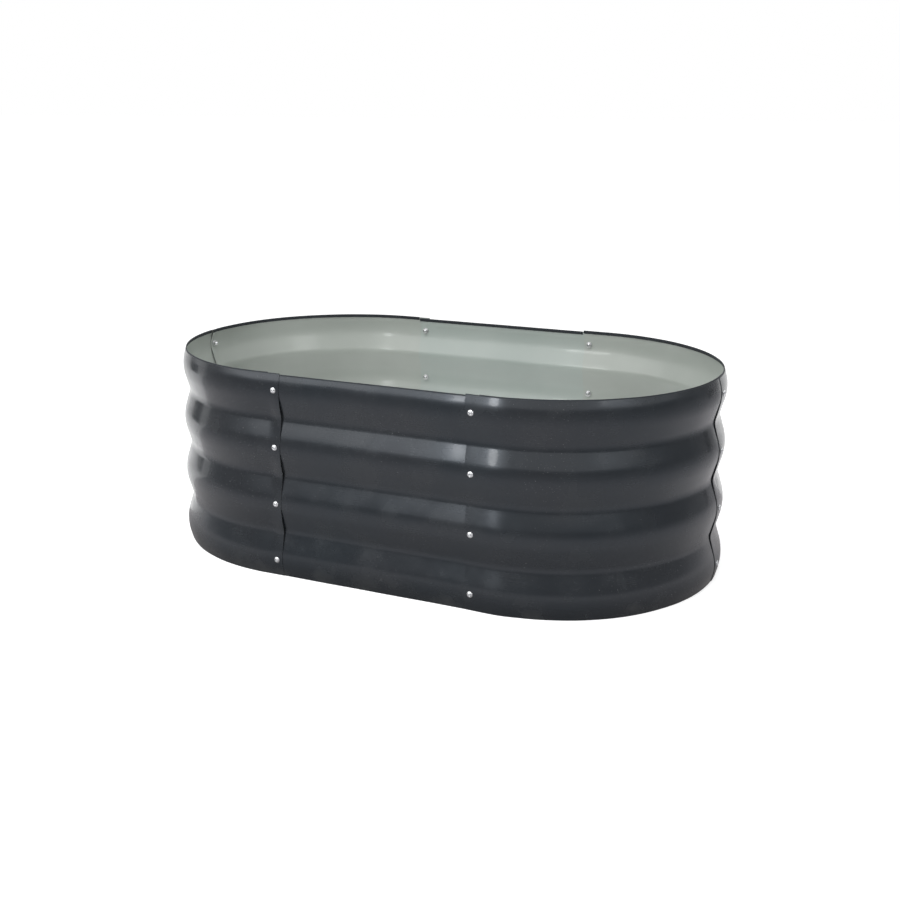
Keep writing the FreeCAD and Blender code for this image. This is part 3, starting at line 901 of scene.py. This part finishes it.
def buildFloor():
    # A plain pale floor that is lifted to white where it is seen, and keeps the bed's shadow.
    half = floorLook["size"] / 2
    corners = [(-half, -half, 0), (half, -half, 0), (half, half, 0), (-half, half, 0)]
    mesh = bpy.data.meshes.new("floor")
    mesh.from_pydata(corners, [], [(0, 1, 2, 3)])
    floor = bpy.data.objects.new("floor", mesh)
    bpy.context.scene.collection.objects.link(floor)
    finish, start = newFinish("studio_floor")
    matte = start.node("ShaderNodeBsdfDiffuse", None, {"Color": floorLook["colour"]})
    lift = start.node("ShaderNodeEmission", None, {"Strength": seenRay(start) * floorLook["lift"]})
    both = start.node("ShaderNodeAddShader", None, {0: matte, 1: lift})
    start.node("ShaderNodeOutputMaterial", None, {"Surface": both})
    mesh.materials.append(finish)


lampAim = 0.25  # height over the ground of the point that the lamps face
lamps = {
    # azimuth round from the near side and elevation in degrees, distance, width, height, power in watts
    "key": (-13, 16.5, 3.0, 0.44, 0.60, 10),
    "leftWall": (-45, 26, 3.5, 2.5, 1.7, 23),
    "frontTop": (-8, 60, 3.2, 2.2, 1.6, 34),
    "rightFill": (60, 24, 3.2, 1.0, 0.8, 8),
    "top": (180, 86, 3.0, 2.4, 1.6, 30),
}


def aroundBed(azimuth, elevation, distance):
    # A point as seen from the lamps' aim: azimuth from the near side and elevation, both in degrees.
    across = math.cos(math.radians(elevation)) * distance
    turn = math.radians(azimuth)
    height = lampAim + math.sin(math.radians(elevation)) * distance
    return Vector((math.sin(turn) * across, -math.cos(turn) * across, height))


def buildLamps():
    # Soft boxes: area lamps that face the bed. The key lamp is round.
    for name, (azimuth, elevation, distance, width, height, power) in lamps.items():
        place = aroundBed(azimuth, elevation, distance)
        lamp = bpy.data.lights.new(name, "AREA")
        lamp.shape = "ELLIPSE" if name == "key" else "RECTANGLE"
        lamp.size = width
        lamp.size_y = height
        lamp.energy = power
        holder = bpy.data.objects.new(name, lamp)
        holder.location = place
        holder.rotation_euler = (Vector((0, 0, lampAim)) - place).to_track_quat("-Z", "Y").to_euler()
        bpy.context.scene.collection.objects.link(holder)


def addScreen(name, points, faces, shades):
    # A surface that glows in the shade of each of its points and shows only in reflections.
    mesh = bpy.data.meshes.new(name)
    mesh.from_pydata(points, [], faces)
    layer = mesh.attributes.new("shade", "FLOAT_COLOR", "POINT")
    layer.data.foreach_set("color", np.array(shades, np.float32).ravel())
    screen = bpy.data.objects.new(name, mesh)
    bpy.context.scene.collection.objects.link(screen)
    finish, start = newFinish(name)
    shade = start.node("ShaderNodeAttribute", {"attribute_name": "shade"})
    glow = start.node("ShaderNodeEmission", None, {"Color": shade, "Strength": 1.0})
    start.node("ShaderNodeOutputMaterial", None, {"Surface": glow})
    mesh.materials.append(finish)
    for kind in ("camera", "diffuse", "shadow", "transmission", "volume_scatter"):
        setattr(screen, f"visible_{kind}", False)


greyScreen = {
    # distance out from the bed's foot, height, and the shade there
    "profile": (
        # The first rows hold a painted shadow of the bed: dark at its foot, light again 0.2 m out.
        (-0.02, 0.001, (0.23, 0.22, 0.22)),
        (0.05, 0.001, (0.45, 0.44, 0.45)),
        (0.20, 0.001, (0.73, 0.71, 0.72)),
        (0.45, 0.001, (0.75, 0.73, 0.75)),
        (1.30, 0.001, (0.46, 0.46, 0.48)),
        (3.90, 0.001, (0.36, 0.36, 0.37)),
        (3.90, 0.60, (0.24, 0.24, 0.25)),
        (3.90, 1.08, (0.24, 0.24, 0.25)),
    ),
    "turns": (-80, 0, 150),  # its left end, middle and right end round from the near side, in degrees
    "steps": (30, 40),  # columns to the left and to the right of the middle
    "straight": 0.25,  # from the bed's middle to the start of its round ends
    "round": 0.35,  # radius of the bed's ends
}


def buildGreyScreen():
    # A grey card on the floor round the front of the bed and a low wall beyond it, for reflections alone.
    # Round the bed's foot it holds a painted shadow of the bed, seen only in reflections.
    form = greyScreen
    start, middle, end = form["turns"]
    leftSteps, rightSteps = form["steps"]
    left, right = np.linspace(start, middle, leftSteps), np.linspace(middle, end, rightSteps)
    turns = np.radians(np.concatenate([left, right]))
    centre = form["straight"] * np.concatenate([-np.ones(len(left)), np.ones(len(right))])
    points, shades = [], []
    for out, height, shade in form["profile"]:
        reach = form["round"] + out
        for across, turn in zip(centre, turns):
            points.append((across + reach * math.sin(turn), -reach * math.cos(turn), height))
            shades.append((*shade, 1.0))
    addScreen("grey_screen", points, gridFaces(len(form["profile"]), len(turns)).tolist(), shades)


cardFoot = 0.003  # height of the dark cards' lower edge
darkCards = {
    # azimuth round from the near side in degrees, distance, width, height of the top, shade
    "leftCard": (-93, 2.6, 0.50, 0.42, 0.03),
    "rightCard": (131, 2.6, 0.22, 0.42, 0.02),
}


def buildDarkCards():
    # Low dark cards beside the bed, for reflections alone. They leave dark ovals on the waves.
    for name, (azimuth, distance, width, height, shade) in darkCards.items():
        middle = aroundBed(azimuth, 0, distance)
        turn = math.radians(azimuth)
        side = Vector((math.cos(turn), math.sin(turn), 0)) * (width / 2)
        corners = ((-1, cardFoot), (1, cardFoot), (1, height), (-1, height))
        points = [(*(middle + way * side).xy, top) for way, top in corners]
        addScreen(name, points, [(0, 1, 2, 3)], [(shade, shade, shade, 1.0)] * 4)


worldLook = {"ambient": 0.42, "seen": 1.0}


def buildWorld():
    # An even grey light all round, seen as white by the camera and in reflections.
    world = bpy.data.worlds.new("studio")
    world.use_nodes = True
    world.node_tree.nodes.clear()
    bpy.context.scene.world = world
    start = Signal(world.node_tree)
    strength = worldLook["ambient"] + seenRay(start) * (worldLook["seen"] - worldLook["ambient"])
    light = start.node("ShaderNodeBackground", None, {"Color": (1, 1, 1, 1), "Strength": strength})
    start.node("ShaderNodeOutputWorld", None, {"Surface": light})


shot = {
    "azimuth": 24.361,  # degrees round from the near side
    "elevation": 10.163,
    "roll": 0.072,
    "distance": 2.60107,
    "target": (0.014746, 0.0, 0.486588),
    "focal": 1218.088,  # in pixels of a 900 pixel wide picture
    "centre": (451.221, 319.845),  # where the lens axis meets the picture, in its pixels
    "picture": 900,
    "sensor": 36,  # in millimetres
}


def buildCamera():
    # Looks from azimuth and elevation at the target. The shift carries the lens axis off the picture's
    # middle.
    azimuth = math.radians(shot["azimuth"])
    elevation = math.radians(shot["elevation"])
    level = math.cos(elevation)
    back = Vector((math.sin(azimuth) * level, -math.cos(azimuth) * level, math.sin(elevation)))
    right = Vector((math.cos(azimuth), math.sin(azimuth), 0))
    up = back.cross(right)
    turn = Matrix((right, up, back)).transposed() @ Matrix.Rotation(math.radians(shot["roll"]), 3, "Z")
    view = bpy.data.cameras.new("camera")
    view.sensor_width = shot["sensor"]
    view.lens = shot["focal"] / shot["picture"] * view.sensor_width
    view.shift_x = 0.5 - shot["centre"][0] / shot["picture"]
    view.shift_y = shot["centre"][1] / shot["picture"] - 0.5
    camera = bpy.data.objects.new("camera", view)
    place = Vector(shot["target"]) + back * shot["distance"]
    camera.matrix_world = Matrix.Translation(place) @ turn.to_4x4()
    bpy.context.scene.collection.objects.link(camera)
    bpy.context.scene.camera = camera


buildFloor()
buildLamps()
buildGreyScreen()
buildDarkCards()
buildWorld()
buildCamera()
bpy.context.scene.view_settings.view_transform = "Standard"
print("studio made")
